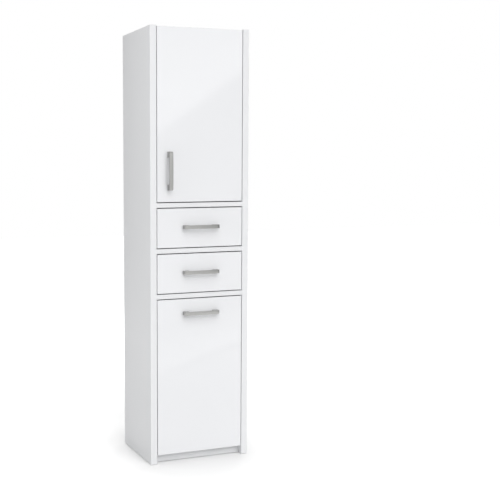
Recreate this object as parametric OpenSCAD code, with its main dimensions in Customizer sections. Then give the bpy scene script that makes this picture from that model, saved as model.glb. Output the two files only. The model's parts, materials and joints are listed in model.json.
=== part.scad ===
// Tall bathroom cabinet: a door over two drawers over a tip-out laundry flap with a wire basket.
// X runs to the right, Y to the back and Z up. The origin is on the floor, in the middle of the
// space that the cabinet takes up with its handles.

/* [Overall] */
// Width over the two side panels
width = 450; // [420:5:520]
// Depth from the front plane to the back edges of the side panels
depth = 330; // [320:5:400]
// Height from the floor to the top of the side panels
height = 1830; // [1750:5:1950]

/* [Boards] */
// Thickness of the side panels
side_t = 28; // [22:0.5:30]
// Thickness of the top, the dividers and the bottom
board_t = 19; // [18:0.5:22]
// Thickness of the door, the drawer fronts and the flap
front_t = 16; // [16:0.5:18]
// Thickness of the loose shelf
shelf_t = 16; // [15:0.5:19]
// Thickness of the plinth boards
plinth_t = 16; // [15:0.5:19]
// Thickness of the back panel
back_t = 3; // [2.5:0.5:4]

/* [Fronts] */
// Gap beside the fronts and above the door
reveal = 3; // [2.5:0.25:3.5]
// Gap between a front and the divider above or below it
level_gap = 4; // [3:0.25:5]
// Height of the door
door_h = 718; // [650:1:760]
// Height of a drawer front
drawer_front_h = 164; // [150:1:180]
// Height of the flap's lower edge above the floor
flap_foot = 40; // [38:1:42]

/* [Plinth and floor] */
// Height of the plinth's top above the floor
plinth_top = 60; // [58:1:62]
// How far the plinth stands back from the front plane
plinth_setback = 30; // [30:1:50]
// How far the bottom panel stands back from the front plane
bottom_setback = 26; // [26:1:40]
// Thickness of the glides under the side panels
glide_t = 3; // [2:0.5:5]
// Diameter of the glides
glide_d = 20; // [15:1:22]

/* [Handles] */
// Length of a handle
handle_len = 160; // [140:1:200]
// Distance between the two screws of a handle
handle_pitch = 128; // [110:1:128]
// How far a handle reaches out from its front
handle_reach = 28; // [24:1:34]
// Height of the bar as seen from the front
handle_h = 15; // [10:0.5:18]
// Thickness of the bar
handle_bar_t = 8; // [6:0.5:10]
// Length of each foot along the bar
handle_foot = 24; // [20:0.5:28]
// Distance from the flap's top edge to its handle
flap_handle_drop = 60; // [50:1:100]
// How far the drawer handles stand above the middle of their fronts
drawer_handle_lift = 4; // [0:1:20]
// Distance from the door's free edge to its handle
door_handle_inset = 53; // [35:1:80]
// Distance from the door's lower edge to the end of its handle
door_handle_rise = 48; // [30:1:150]

/* [Door hinges] */
// Distance from the door's ends to the hinges
hinge_inset = 100; // [80:1:140]
// Distance from the door's edge to the middle of the cup
cup_edge = 21.5; // [21:0.25:23]
// Diameter of the cup hole
cup_d = 35; // [34:0.5:36]
// Depth of the cup hole
cup_depth = 12; // [11:0.25:12]

/* [Shelf] */
// How far the shelf stands back from the front plane
shelf_setback = 24; // [22:1:60]
// Distance between the rows of shelf holes
shelf_step = 32; // [25:1:64]

/* [Drawers] */
// Space for the runners at each side of a drawer
runner_space = 12.5; // [12.5:0.25:13]
// Thickness of a drawer's sides and back
drawer_wall_t = 12; // [10:0.5:15]
// Height of a drawer's sides
drawer_side_h = 95; // [80:1:105]
// Space between a drawer's back and the back panel
drawer_back_gap = 17; // [12:1:40]
// Height of the drawer sides above the front's lower edge
drawer_side_rise = 27; // [20:1:35]
// Thickness of a drawer's bottom
drawer_bottom_t = 3; // [2.5:0.5:4]
// Radius of the rollers at the front of the carcass profiles
front_roller_r = 8; // [7:0.1:8]
// Radius of the rollers at the back of the drawer profiles
rear_roller_r = 7.6; // [7:0.1:7.6]
// Width of a roller
roller_w = 7; // [6:0.1:7]

/* [Laundry flap] */
// Angle that the flap tips out
flap_tilt = 26; // [20:1:26]
// Height of the flap's pivot above the floor
pivot_z = 65; // [60:1:68]
// Diameter of the pivot pins
pivot_d = 8; // [6:0.5:8]
// Distance from the pivot to the middle of the slot in the stays
stay_radius = 300; // [260:5:340]
// Width of a stay
stay_w = 20; // [16:0.5:24]
// Diameter of the studs in the stays
stud_d = 6; // [5:0.25:8]

/* [Laundry basket] */
// Space between a side panel and the middle of the basket's outer wires
basket_side_gap = 25; // [24:1:45]
// Space between the back panel and the middle of the basket's outer wires
basket_back_gap = 50.5; // [45:0.5:90]
// Height of the basket's floor above the cabinet's floor level
basket_foot = 95; // [92:1:110]
// Distance from the flap's top edge to the basket's front rim
rim_drop = 12; // [10:1:40]
// Slope of the rim towards the back, in degrees
rim_slope = 17; // [10:0.5:20]
// Diameter of the mesh wires
wire_d = 3; // [2.5:0.25:4]
// Diameter of the rim wire
rim_d = 5; // [4:0.25:6]
// Distance between the level wires
row_pitch = 85; // [60:1:90]
// Number of uprights in the front and in the back
wide_uprights = 8; // [5:1:9]
// Number of uprights in each side
deep_uprights = 6; // [3:1:7]

/* [Hidden] */
$fn = 48;

white_board = "white";
gloss_white = "snow";
steel = "silver";
nickel = "darkgray";
nylon = "whitesmoke";
coated = "gainsboro";

through = 1;            // how far a cut runs past a face
fit = 0.2;              // clearance of a board in its groove
hole_fit = 0.1;         // what a hole is wider than its screw or pin
running = 0.2;          // what a bore is wider than the pin that turns in it

// Faces and levels
inner_x = width / 2 - side_t;
front_x = inner_x - reveal;
front_y = -(depth + handle_reach) / 2 + handle_reach;
door_top = height - reveal;
door_z = door_top - door_h;
divider_upper_z = door_z - level_gap - board_t;
drawer_upper_z = divider_upper_z - level_gap - drawer_front_h;
divider_middle_z = drawer_upper_z - level_gap - board_t;
drawer_lower_z = divider_middle_z - level_gap - drawer_front_h;
divider_lower_z = drawer_lower_z - level_gap - board_t;
flap_top = divider_lower_z - level_gap;
top_z = height - board_t;
bottom_z = plinth_top;

// Back panel in its grooves
groove_depth = 6;
groove_inset = 9;
back_y = depth - groove_inset - back_t;

// Cams and bolts that hold the boards between the side panels
cam_d = 15;
cam_h = 12;
cam_inset = 24;
cam_slot = 5.6;
bolt_d = 6.8;
bolt_neck_d = 3;
bolt_head_d = 5;
bolt_thread_d = 4.9;
bolt_thread_len = 11;
bolt_inset = 60;
bolt_rows = [bolt_inset, depth - bolt_inset];
board_levels = [bottom_z, divider_lower_z, divider_middle_z, divider_upper_z, top_z];

// Wood screws
screw_d = 3.4;
screw_head_d = 7;
screw_head_h = 1.8;
screw_len = 13;
rail_screw_head_h = 0.6;

// Handle screws
handle_screw_d = 4;
handle_screw_head_d = 8;
handle_screw_head_h = 2.2;
handle_screw_bite = 10;
handle_screw_slot = 1.1;
handle_round = 8;
handle_inner_round = 5;
drawer_handle_z = drawer_front_h / 2 + drawer_handle_lift;
flap_handle_z = flap_top - flap_handle_drop;
door_handle_x = -front_x + door_handle_inset;
door_handle_z = door_z + door_handle_rise + handle_len / 2;

// Shelf and its pins
shelf_z = (divider_upper_z + board_t + top_z - shelf_t) / 2;
shelf_gap = 0.5;
shelf_pin_d = 4.9;
shelf_pin_depth = 9;
shelf_pin_reach = 10;
shelf_pin_inset = 75;
shelf_pin_rows = [shelf_pin_inset, depth - shelf_pin_inset];
shelf_pin_axis = shelf_z - shelf_pin_d / 2;
shelf_hole_steps = [-2, -1, 0, 1, 2];

// Top panel behind the door, and the bumpers between them
bumper_t = 1.2;
bumper_d = 8;
bumper_gap = 0.3;
bumper_inset = 44;
top_setback = front_t + bumper_t + bumper_gap;

// Glides
glide_inset = 30;

// Wall bracket
bracket_w = 36;
bracket_t = 2;
bracket_leg = 40;
bracket_reach = 32;
bracket_hole_d = 5.5;
bracket_hole_drop = 24;
bracket_screw_x = 10;

// Hinges, seen from the side panel's inner face
hinge_levels = [door_z + hinge_inset, door_top - hinge_inset];
cup_x = front_x - cup_edge;
cup_wall = 1;
cup_flange_t = 1.2;
cup_flange_d = cup_d + 3;
cup_screw_x = 9.5;
cup_screw_z = 24;
cup_screw_bite = 10;
plate_t = 6;
plate_wing_t = 2;
plate_y = front_t + 30;
plate_len = 34;
plate_wing_w = 14;
plate_screw_z = 19;
arm_web = 1.5;
arm_flange = 1.2;
arm_h = 16;
arm_reach = 16;
arm_y0 = plate_y - 10;
arm_y1 = plate_y + plate_len + 4;
arm_hole_d = 5;
arm_hole_pitch = 18;
link_x = front_x - 8.9;
link_y = front_t + 4.8;
link_pin_d = 3;
link_h = 10;
link_t = 2.4;
link_len = 36.6;
link_angle = 175.5;
link_bulge = 14;
link_eye_wall = 1.4;
nose_r = 3.6;

// Drawers and runners. Runner sizes are measured in from the side panel's inner face.
box_x = inner_x - runner_space;
box_y1 = back_y - drawer_back_gap;
box_groove_rise = 10;
box_groove_depth = 6;
front_groove_depth = 5;
rail_t = 1.2;
rail_y0 = front_t + 3;
rail_y1 = box_y1 - 1;
rail_flange = 9.5;
rail_gap = 0.3;
channel_h = 2 * rear_roller_r + 0.8;
rail_h = channel_h + 2 * rail_t;
flange_lift = 0.5;
rail_drop = 2.2;
drawer_flange_reach = 8.3;
drawer_lip = 10;
roller_in = 2.2;
roller_out = 3;
axle_d = 5;
axle_head_d = 7;
axle_head_t = 0.7;
front_axle_y = rail_y0 + 12;
rear_axle_y = rail_y1 - 10;
front_axle_z = rail_h + flange_lift - rail_gap - front_roller_r;
rear_axle_z = rail_t + rail_gap + rear_roller_r;
front_screw_step = 45;
rear_screw_step = 60;
rail_screw_ys = [front_axle_y + front_screw_step, rear_axle_y - rear_screw_step];
rail_screw_z = rail_h / 2;

// Flap, its pivot and its stays
pivot_y = front_t / 2;
pin_in_side = 15;
pin_in_flap = 12;
bush_d = 11.9;
bush_len = 13;
stay_t = 2;
stay_in = 4;
stay_foot_w = 15;
stay_foot_h = 60;
stay_slot = stud_d + 0.6;
stop_clear = 0.4;
stud_angle = 12;
slot_start = stud_angle - 0.5;
slot_end = stud_angle + flap_tilt + stop_clear / stay_radius * 180 / PI;
stay_end = slot_end + 2;
stud_collar_d = 10;
stud_hole = 12;
stud_head_t = 1.6;
stud_clear = 0.4;
stud_y = pivot_y + stay_radius * sin(stud_angle);
stud_z = pivot_z + stay_radius * cos(stud_angle);

// Basket
basket_gap = 6.5;
weld = 0.4;
corner_r = 14;
floor_r = 12;
basket_y0 = front_t + basket_gap;
basket_y1 = back_y - basket_back_gap;
basket_depth = basket_y1 - basket_y0;
basket_w = 2 * (inner_x - basket_side_gap);
rim_z = flap_top - rim_drop;
upright_margin = 6;
first_row = basket_foot + 55;
rows_clear = 60;
row_count = floor((rim_z - basket_depth * tan(rim_slope) - rows_clear - first_row) / row_pitch) + 1;
second_drop = 100;
second_slope = rim_slope / 2.4;
clip_w = 14;
clip_h = 12;
clip_lip = 4;

// Shapes used by many pieces

module block(from, to) {
    translate(from)
        cube(to - from);
}

module rod_x(d, x0, x1, y, z) {
    translate([x0, y, z])
        rotate([0, 90, 0])
            cylinder(d = d, h = x1 - x0);
}

module rod_y(d, x, y0, y1, z) {
    translate([x, y0, z])
        rotate([-90, 0, 0])
            cylinder(d = d, h = y1 - y0);
}

module rod_z(d, x, y, z0, z1) {
    translate([x, y, z0])
        cylinder(d = d, h = z1 - z0);
}

module both_sides() {
    children();
    mirror([1, 0, 0])
        children();
}

// Everything below is drawn with Y = 0 in the front plane, and this moves it to its place.
module placed(shade) {
    color(shade)
        translate([0, front_y, 0])
            children();
}

// Carcass

module shelf_holes() {
    for (y = shelf_pin_rows, step = shelf_hole_steps)
        rod_x(shelf_pin_d + hole_fit, inner_x - through, inner_x + shelf_pin_depth + fit, y,
              shelf_pin_axis + step * shelf_step);
}

module side_board() {
    difference() {
        block([inner_x, 0, glide_t], [width / 2, depth, height]);
        block([inner_x - through, back_y - fit, glide_t - through],
              [inner_x + groove_depth, back_y + back_t + fit, height + through]);
        for (z = board_levels, y = bolt_rows)
            rod_x(bolt_thread_d + hole_fit, inner_x - through, inner_x + bolt_thread_len + fit, y,
                  z + board_t / 2);
        shelf_holes();
        rod_x(pivot_d + hole_fit, inner_x - through, inner_x + pin_in_side + fit, pivot_y, pivot_z);
        rod_x(stud_d + hole_fit, inner_x - through, inner_x + stud_hole + fit, stud_y, stud_z);
        for (z = [drawer_upper_z, drawer_lower_z], y = rail_screw_ys)
            rod_x(screw_d + hole_fit, inner_x - through, inner_x + screw_len + fit, y,
                  rail_z(z) + rail_screw_z);
    }
}

module side_panel_left() {
    placed(white_board)
        mirror([1, 0, 0])
            side_board();
}

module side_panel_right() {
    placed(white_board)
        difference() {
            side_board();
            for (z = hinge_levels, dz = [-plate_screw_z, plate_screw_z])
                rod_x(screw_d + hole_fit, inner_x - through, inner_x + screw_len + fit,
                      plate_y + plate_len / 2, z + dz);
        }
}

module board(z0, y0, y1) {
    difference() {
        block([-inner_x, y0, z0], [inner_x, y1, z0 + board_t]);
        both_sides()
            for (y = bolt_rows) {
                rod_x(bolt_d + 2 * hole_fit, inner_x - cam_inset, inner_x + through, y,
                      z0 + board_t / 2);
                rod_z(cam_d + 2 * hole_fit, inner_x - cam_inset, y, z0 - through, z0 + cam_h + fit);
            }
    }
}

module top_panel() {
    placed(white_board)
        difference() {
            board(top_z, top_setback, depth);
            block([-width, back_y - fit, top_z - through],
                  [width, back_y + back_t + fit, top_z + groove_depth]);
            for (x = [-bracket_screw_x, bracket_screw_x])
                rod_z(screw_d + hole_fit, x, bracket_screw_y(), top_z - through,
                      top_z + screw_len + fit);
        }
}

module divider_upper() {
    placed(white_board)
        board(divider_upper_z, 0, back_y - fit);
}

module divider_middle() {
    placed(white_board)
        board(divider_middle_z, 0, back_y - fit);
}

module divider_lower() {
    placed(white_board)
        board(divider_lower_z, 0, back_y - fit);
}

module bottom_panel() {
    placed(white_board)
        difference() {
            board(bottom_z, bottom_setback, depth);
            block([-width, back_y - fit, bottom_z + board_t - groove_depth],
                  [width, back_y + back_t + fit, bottom_z + board_t + through]);
        }
}

module plinth(y0) {
    placed(white_board)
        block([-inner_x, y0, glide_t], [inner_x, y0 + plinth_t, plinth_top]);
}

module plinth_front() plinth(plinth_setback);

module plinth_rear() plinth(depth - plinth_setback - plinth_t);

module back_panel() {
    edge = groove_depth - fit;
    placed(white_board)
        difference() {
            block([-inner_x - edge, back_y, bottom_z + board_t - edge],
                  [inner_x + edge, back_y + back_t, top_z + edge]);
            rod_y(bracket_hole_d, 0, back_y - through, back_y + back_t + through,
                  top_z - bracket_hole_drop);
        }
}

module shelf() {
    placed(white_board)
        block([-inner_x + shelf_gap, shelf_setback, shelf_z],
              [inner_x - shelf_gap, back_y - fit, shelf_z + shelf_t]);
}

module shelf_pin(y) {
    spoon_w = 8;
    spoon_t = 2;
    plate_h = 9;
    rod_x(shelf_pin_d, inner_x - shelf_pin_reach, inner_x + shelf_pin_depth, y, shelf_pin_axis);
    block([inner_x - shelf_pin_reach, y - spoon_w / 2, shelf_z - spoon_t],
          [inner_x, y + spoon_w / 2, shelf_z]);
    block([inner_x - spoon_t, y - spoon_w / 2, shelf_z - plate_h],
          [inner_x, y + spoon_w / 2, shelf_z]);
}

module shelf_pins() {
    placed(steel)
        both_sides()
            for (y = shelf_pin_rows)
                shelf_pin(y);
}

module cam(y, z) {
    recess = 1.4;
    translate([inner_x - cam_inset, y, z])
        difference() {
            cylinder(d = cam_d, h = cam_h);
            block([-bolt_head_d / 2 - fit, -cam_slot / 2, board_t / 2 - cam_slot / 2],
                  [cam_d, cam_slot / 2, board_t / 2 + cam_slot / 2]);
            for (turn = [0, 90])
                rotate([0, 0, turn])
                    translate([0, 0, recess / 2])
                        cube([cam_d / 2, recess, recess * 2], center = true);
        }
}

module cam_locks() {
    placed(steel)
        both_sides()
            for (z = board_levels, y = bolt_rows)
                cam(y, z);
}

module cam_bolt(y, z) {
    cam_face = inner_x - cam_inset + cam_d / 2;
    head_x = inner_x - cam_inset;
    rod_x(bolt_head_d, head_x - bolt_head_d / 2, head_x + bolt_head_d / 2, y, z);
    rod_x(bolt_neck_d, head_x, inner_x, y, z);
    rod_x(bolt_d, cam_face + fit, inner_x, y, z);
    rod_x(bolt_thread_d, inner_x - through, inner_x + bolt_thread_len, y, z);
}

module cam_bolts() {
    placed(steel)
        both_sides()
            for (z = board_levels, y = bolt_rows)
                cam_bolt(y, z + board_t / 2);
}

module floor_glides() {
    placed(nylon)
        both_sides()
            for (y = [glide_inset, depth - glide_inset])
                rod_z(glide_d, width / 2 - side_t / 2, y, 0, glide_t);
}

function bracket_screw_y() = back_y - bracket_reach / 2 - bracket_t;

module wall_bracket() {
    placed(steel)
        difference() {
            union() {
                block([-bracket_w / 2, back_y - bracket_t, top_z - bracket_leg],
                      [bracket_w / 2, back_y, top_z]);
                block([-bracket_w / 2, back_y - bracket_reach, top_z - bracket_t],
                      [bracket_w / 2, back_y, top_z]);
            }
            rod_y(bracket_hole_d, 0, back_y - bracket_t - through, back_y + through,
                  top_z - bracket_hole_drop);
            for (x = [-bracket_screw_x, bracket_screw_x])
                rod_z(screw_d + hole_fit, x, bracket_screw_y(), top_z - bracket_t - through,
                      top_z + through);
        }
}

// A screw along +Z with its head under z = 0
module wood_screw(len, head_h = screw_head_h) {
    slot = 1;
    difference() {
        union() {
            cylinder(d = screw_d, h = len);
            translate([0, 0, -head_h])
                cylinder(d = screw_head_d, h = head_h);
        }
        for (turn = [0, 90])
            rotate([0, 0, turn])
                translate([0, 0, -head_h])
                    cube([screw_head_d * 0.6, slot, slot], center = true);
    }
}

module screw_into_side(skin, y, z, head_h = screw_head_h) {
    translate([inner_x - skin, y, z])
        rotate([0, 90, 0])
            wood_screw(screw_len + skin, head_h);
}

module wood_screws() {
    placed(steel) {
        for (x = [-bracket_screw_x, bracket_screw_x])
            translate([x, bracket_screw_y(), top_z - bracket_t])
                wood_screw(screw_len + bracket_t);
        for (z = hinge_levels, dz = [-plate_screw_z, plate_screw_z])
            screw_into_side(plate_wing_t, plate_y + plate_len / 2, z + dz);
        both_sides()
            for (z = [drawer_upper_z, drawer_lower_z], y = rail_screw_ys)
                screw_into_side(rail_t, y, rail_z(z) + rail_screw_z, rail_screw_head_h);
    }
}

// Hinges

module hinge_plates() {
    mid = plate_y + plate_len / 2;
    placed(nickel)
        for (z = hinge_levels)
            difference() {
                union() {
                    block([inner_x - plate_t, plate_y, z - arm_h / 2],
                          [inner_x, plate_y + plate_len, z + arm_h / 2]);
                    block([inner_x - plate_wing_t, mid - plate_wing_w / 2, z - plate_screw_z],
                          [inner_x, mid + plate_wing_w / 2, z + plate_screw_z]);
                    for (dz = [-plate_screw_z, plate_screw_z])
                        rod_x(plate_wing_w, inner_x - plate_wing_t, inner_x, mid, z + dz);
                }
                for (dz = [-plate_screw_z, plate_screw_z])
                    rod_x(screw_d + hole_fit, inner_x - plate_t - through, inner_x + through, mid,
                          z + dz);
            }
}

module arm_flanges() {
    root_x = inner_x - plate_t;
    for (side = [-1, 1])
        translate([0, 0, side * (arm_h - arm_flange) / 2]) {
            block([inner_x - arm_reach, link_y + nose_r, -arm_flange / 2],
                  [root_x, arm_y1, arm_flange / 2]);
            block([link_x - nose_r, link_y, -arm_flange / 2],
                  [min(link_x + nose_r, root_x), link_y + 2 * nose_r, arm_flange / 2]);
            rod_z(2 * nose_r, link_x, link_y, -arm_flange / 2, arm_flange / 2);
        }
}

module hinge_arms() {
    mid = plate_y + plate_len / 2;
    web_x = inner_x - arm_reach;
    placed(nickel)
        for (z = hinge_levels)
            translate([0, 0, z]) {
                arm_flanges();
                difference() {
                    block([web_x, arm_y0, -arm_h / 2], [web_x + arm_web, arm_y1, arm_h / 2]);
                    for (y = [mid - arm_hole_pitch / 2, mid + arm_hole_pitch / 2])
                        rod_x(arm_hole_d, web_x - through, web_x + arm_web + through, y, 0);
                }
                rod_z(link_pin_d, link_x, link_y, -arm_h / 2, arm_h / 2);
            }
}

// The link's outline in plan: an eye on the pin and an arc that bows round the door's edge
module link_plan() {
    half = link_len / 2;
    bow_r = (half * half + link_bulge * link_bulge) / (2 * link_bulge);
    eye_r = (link_pin_d + running) / 2 + link_eye_wall;
    difference() {
        union() {
            circle(r = eye_r);
            intersection() {
                translate([half, bow_r - link_bulge])
                    difference() {
                        circle(r = bow_r + link_t / 2, $fn = 96);
                        circle(r = bow_r - link_t / 2, $fn = 96);
                    }
                translate([0, -2 * link_bulge])
                    square([link_len, 2 * link_bulge]);
            }
            translate([link_len, 0])
                circle(d = link_t);
        }
        circle(d = link_pin_d + running);
    }
}

module hinge_links() {
    placed(steel)
        for (z = hinge_levels)
            translate([link_x, link_y, z - link_h / 2])
                rotate([0, 0, link_angle])
                    linear_extrude(link_h)
                        link_plan();
}

module hinge_cups() {
    placed(nickel)
        for (z = hinge_levels)
            difference() {
                union() {
                    rod_y(cup_d - 2 * hole_fit, cup_x, front_t - cup_depth + fit, front_t, z);
                    rod_y(cup_flange_d, cup_x, front_t, front_t + cup_flange_t, z);
                    block([cup_x - 2 * cup_screw_x, front_t, z - cup_screw_z],
                          [cup_x, front_t + cup_flange_t, z + cup_screw_z]);
                    for (dz = [-cup_screw_z, cup_screw_z])
                        rod_y(2 * cup_screw_x, cup_x - cup_screw_x, front_t, front_t + cup_flange_t,
                              z + dz);
                }
                rod_y(cup_d - 2 * (hole_fit + cup_wall), cup_x, front_t - cup_depth + fit + cup_wall,
                      front_t + cup_flange_t + through, z);
                for (dz = [-cup_screw_z, cup_screw_z])
                    rod_y(screw_d + hole_fit, cup_x - cup_screw_x, front_t - through,
                          front_t + cup_flange_t + through, z + dz);
            }
}

module hinge_cup_screws() {
    placed(steel)
        for (z = hinge_levels, dz = [-cup_screw_z, cup_screw_z])
            translate([cup_x - cup_screw_x, front_t + cup_flange_t, z + dz])
                rotate([90, 0, 0])
                    wood_screw(cup_screw_bite + cup_flange_t);
}

module door_bumpers() {
    placed(nylon)
        both_sides()
            rod_y(bumper_d, front_x - bumper_inset, front_t, front_t + bumper_t, top_z + board_t / 2);
}

// Handles and fronts

module handle_plan() {
    half = handle_len / 2;
    gap_half = half - handle_foot;
    gap_depth = handle_reach - handle_bar_t;
    difference() {
        union() {
            translate([-half, handle_round - handle_reach])
                square([handle_len, handle_reach - handle_round]);
            translate([handle_round - half, -handle_reach])
                square([handle_len - 2 * handle_round, handle_reach]);
            for (side = [-1, 1])
                translate([side * (half - handle_round), handle_round - handle_reach])
                    circle(r = handle_round);
        }
        translate([-gap_half, handle_inner_round - gap_depth])
            square([2 * gap_half, gap_depth]);
        translate([handle_inner_round - gap_half, -gap_depth])
            square([2 * (gap_half - handle_inner_round), gap_depth + through]);
        for (side = [-1, 1])
            translate([side * (gap_half - handle_inner_round), handle_inner_round - gap_depth])
                circle(r = handle_inner_round);
    }
}

// A level handle whose feet stand on the front plane
module handle() {
    difference() {
        translate([0, 0, -handle_h / 2])
            linear_extrude(handle_h)
                handle_plan();
        for (x = [-handle_pitch / 2, handle_pitch / 2])
            rod_y(handle_screw_d + hole_fit, x, -handle_screw_bite - fit, through, 0);
    }
}

module handle_screws() {
    for (x = [-handle_pitch / 2, handle_pitch / 2]) {
        rod_y(handle_screw_d, x, -handle_screw_bite, front_t + through, 0);
        difference() {
            rod_y(handle_screw_head_d, x, front_t, front_t + handle_screw_head_h, 0);
            translate([x, front_t + handle_screw_head_h, 0])
                for (turn = [0, 90])
                    rotate([0, turn, 0])
                        cube([handle_screw_head_d * 0.6, handle_screw_head_h, handle_screw_slot],
                             center = true);
        }
    }
}

module handle_holes() {
    for (x = [-handle_pitch / 2, handle_pitch / 2])
        rod_y(handle_screw_d + 2 * hole_fit, x, -through, front_t + through, 0);
}

module at_door_handle() {
    translate([door_handle_x, 0, door_handle_z])
        rotate([0, 90, 0])
            children();
}

module door_panel() {
    placed(gloss_white)
        difference() {
            block([-front_x, 0, door_z], [front_x, front_t, door_top]);
            at_door_handle()
                handle_holes();
            for (z = hinge_levels) {
                rod_y(cup_d, cup_x, front_t - cup_depth, front_t + through, z);
                for (dz = [-cup_screw_z, cup_screw_z])
                    rod_y(screw_d + hole_fit, cup_x - cup_screw_x, front_t - cup_screw_bite - fit,
                          front_t + through, z + dz);
            }
        }
}

module door_handle() {
    placed(nickel)
        at_door_handle()
            handle();
}

module door_handle_screws() {
    placed(steel)
        at_door_handle()
            handle_screws();
}

// Drawers, each given by the height of its front's lower edge

function box_z(z) = z + drawer_side_rise;
function rail_z(z) = box_z(z) - rail_drop;

module drawer_front(z) {
    placed(gloss_white)
        difference() {
            block([-front_x, 0, z], [front_x, front_t, z + drawer_front_h]);
            block([-box_x + drawer_wall_t - box_groove_depth, front_t - front_groove_depth,
                   box_z(z) + box_groove_rise],
                  [box_x - drawer_wall_t + box_groove_depth, front_t + through,
                   box_z(z) + box_groove_rise + drawer_bottom_t + fit]);
            translate([0, 0, z + drawer_handle_z])
                handle_holes();
        }
}

module drawer_sides(z) {
    placed(white_board)
        both_sides()
            difference() {
                block([box_x - drawer_wall_t, front_t, box_z(z)],
                      [box_x, box_y1, box_z(z) + drawer_side_h]);
                block([box_x - drawer_wall_t - through, front_t - through,
                       box_z(z) + box_groove_rise],
                      [box_x - drawer_wall_t + box_groove_depth, box_y1 + through,
                       box_z(z) + box_groove_rise + drawer_bottom_t + fit]);
            }
}

module drawer_back(z) {
    placed(white_board)
        block([-box_x + drawer_wall_t, box_y1 - drawer_wall_t,
               box_z(z) + box_groove_rise + drawer_bottom_t + fit],
              [box_x - drawer_wall_t, box_y1, box_z(z) + drawer_side_h]);
}

module drawer_bottom(z) {
    edge = box_groove_depth - fit;
    placed(white_board)
        block([-box_x + drawer_wall_t - edge, front_t - front_groove_depth + fit,
               box_z(z) + box_groove_rise + fit / 2],
              [box_x - drawer_wall_t + edge, box_y1,
               box_z(z) + box_groove_rise + fit / 2 + drawer_bottom_t]);
}

module drawer_handle(z) {
    placed(nickel)
        translate([0, 0, z + drawer_handle_z])
            handle();
}

module drawer_handle_screws(z) {
    placed(steel)
        translate([0, 0, z + drawer_handle_z])
            handle_screws();
}

// A channel on the side panel: its flanges point at the drawer, and the roller stands at its front
module carcass_runner(z) {
    rail_x = inner_x - rail_t;
    lip_x = inner_x - rail_flange;
    top_y0 = front_axle_y + front_roller_r + 3;
    head_x = inner_x - roller_in - roller_w - fit - axle_head_t;
    translate([0, 0, rail_z(z)]) {
        difference() {
            block([rail_x, rail_y0, 0], [inner_x, rail_y1, rail_h]);
            for (y = rail_screw_ys)
                rod_x(screw_d + hole_fit, rail_x - through, inner_x + through, y, rail_screw_z);
        }
        block([lip_x, rail_y0, 0], [inner_x, rail_y1, rail_t]);
        block([lip_x, top_y0, rail_h - rail_t], [inner_x, rail_y1, rail_h]);
        rod_x(axle_d, head_x, inner_x - rail_t / 2, front_axle_y, front_axle_z);
        rod_x(axle_head_d, head_x, head_x + axle_head_t, front_axle_y, front_axle_z);
    }
}

module carcass_runners() {
    placed(coated)
        both_sides()
            for (z = [drawer_upper_z, drawer_lower_z])
                carcass_runner(z);
}

// A profile under the drawer's side: its upper flange rides on the roller of the carcass
module drawer_runners(z) {
    web_x = box_x + rail_t;
    top = rail_h + flange_lift + rail_t;
    low = rail_drop - rail_t;
    head_x = inner_x - roller_out + fit;
    placed(coated)
        both_sides()
            translate([0, 0, rail_z(z)]) {
                block([box_x, rail_y0, low], [web_x, rail_y1, top]);
                block([box_x, rail_y0, top - rail_t],
                      [box_x + rail_t + drawer_flange_reach, rail_y1, top]);
                block([box_x - drawer_lip, rail_y0, low], [web_x, rail_y1, rail_drop]);
                rod_x(axle_d, box_x + rail_t / 2, head_x + axle_head_t, rear_axle_y, rear_axle_z);
                rod_x(axle_head_d, head_x, head_x + axle_head_t, rear_axle_y, rear_axle_z);
            }
}

module roller(r, x0) {
    groove = 0.6;
    translate([x0, 0, 0])
        rotate([0, 90, 0])
            difference() {
                cylinder(r = r, h = roller_w);
                translate([0, 0, -through])
                    cylinder(d = axle_d + running, h = roller_w + 2 * through);
                for (h = [-through, roller_w - groove])
                    translate([0, 0, h])
                        difference() {
                            cylinder(r = r - 1.2, h = groove + through);
                            cylinder(d = axle_d + 3, h = groove + through);
                        }
            }
}

module front_rollers(z) {
    placed(nylon)
        both_sides()
            translate([0, front_axle_y, rail_z(z) + front_axle_z])
                roller(front_roller_r, inner_x - roller_in - roller_w);
}

module rear_rollers(z) {
    placed(nylon)
        both_sides()
            translate([0, rear_axle_y, rail_z(z) + rear_axle_z])
                roller(rear_roller_r, inner_x - roller_out - roller_w);
}

// Laundry flap

module flap_panel() {
    placed(gloss_white)
        difference() {
            block([-front_x, 0, flap_foot], [front_x, front_t, flap_top]);
            translate([0, 0, flap_handle_z])
                handle_holes();
            both_sides()
                rod_x(bush_d + hole_fit, front_x - bush_len - fit, front_x + through, pivot_y, pivot_z);
        }
}

module flap_handle() {
    placed(nickel)
        translate([0, 0, flap_handle_z])
            handle();
}

module flap_handle_screws() {
    placed(steel)
        translate([0, 0, flap_handle_z])
            handle_screws();
}

module flap_bushes() {
    placed(nylon)
        both_sides()
            difference() {
                rod_x(bush_d, front_x - bush_len, front_x, pivot_y, pivot_z);
                rod_x(pivot_d + running, front_x - bush_len - through, front_x + through, pivot_y,
                      pivot_z);
            }
}

module pivot_pins() {
    placed(steel)
        both_sides()
            rod_x(pivot_d, front_x - pin_in_flap, inner_x + pin_in_side, pivot_y, pivot_z);
}

// A band of a ring round the pivot, between two angles from the vertical, with round ends
module ring_band(r, w, from, to) {
    far = 2 * r;
    intersection() {
        difference() {
            circle(r = r + w / 2, $fn = 180);
            circle(r = r - w / 2, $fn = 180);
        }
        polygon([[0, 0], far * [sin(from), cos(from)], far * [sin(to), cos(to)]]);
    }
    for (angle = [from, to])
        translate(r * [sin(angle), cos(angle)])
            circle(d = w);
}

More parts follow.
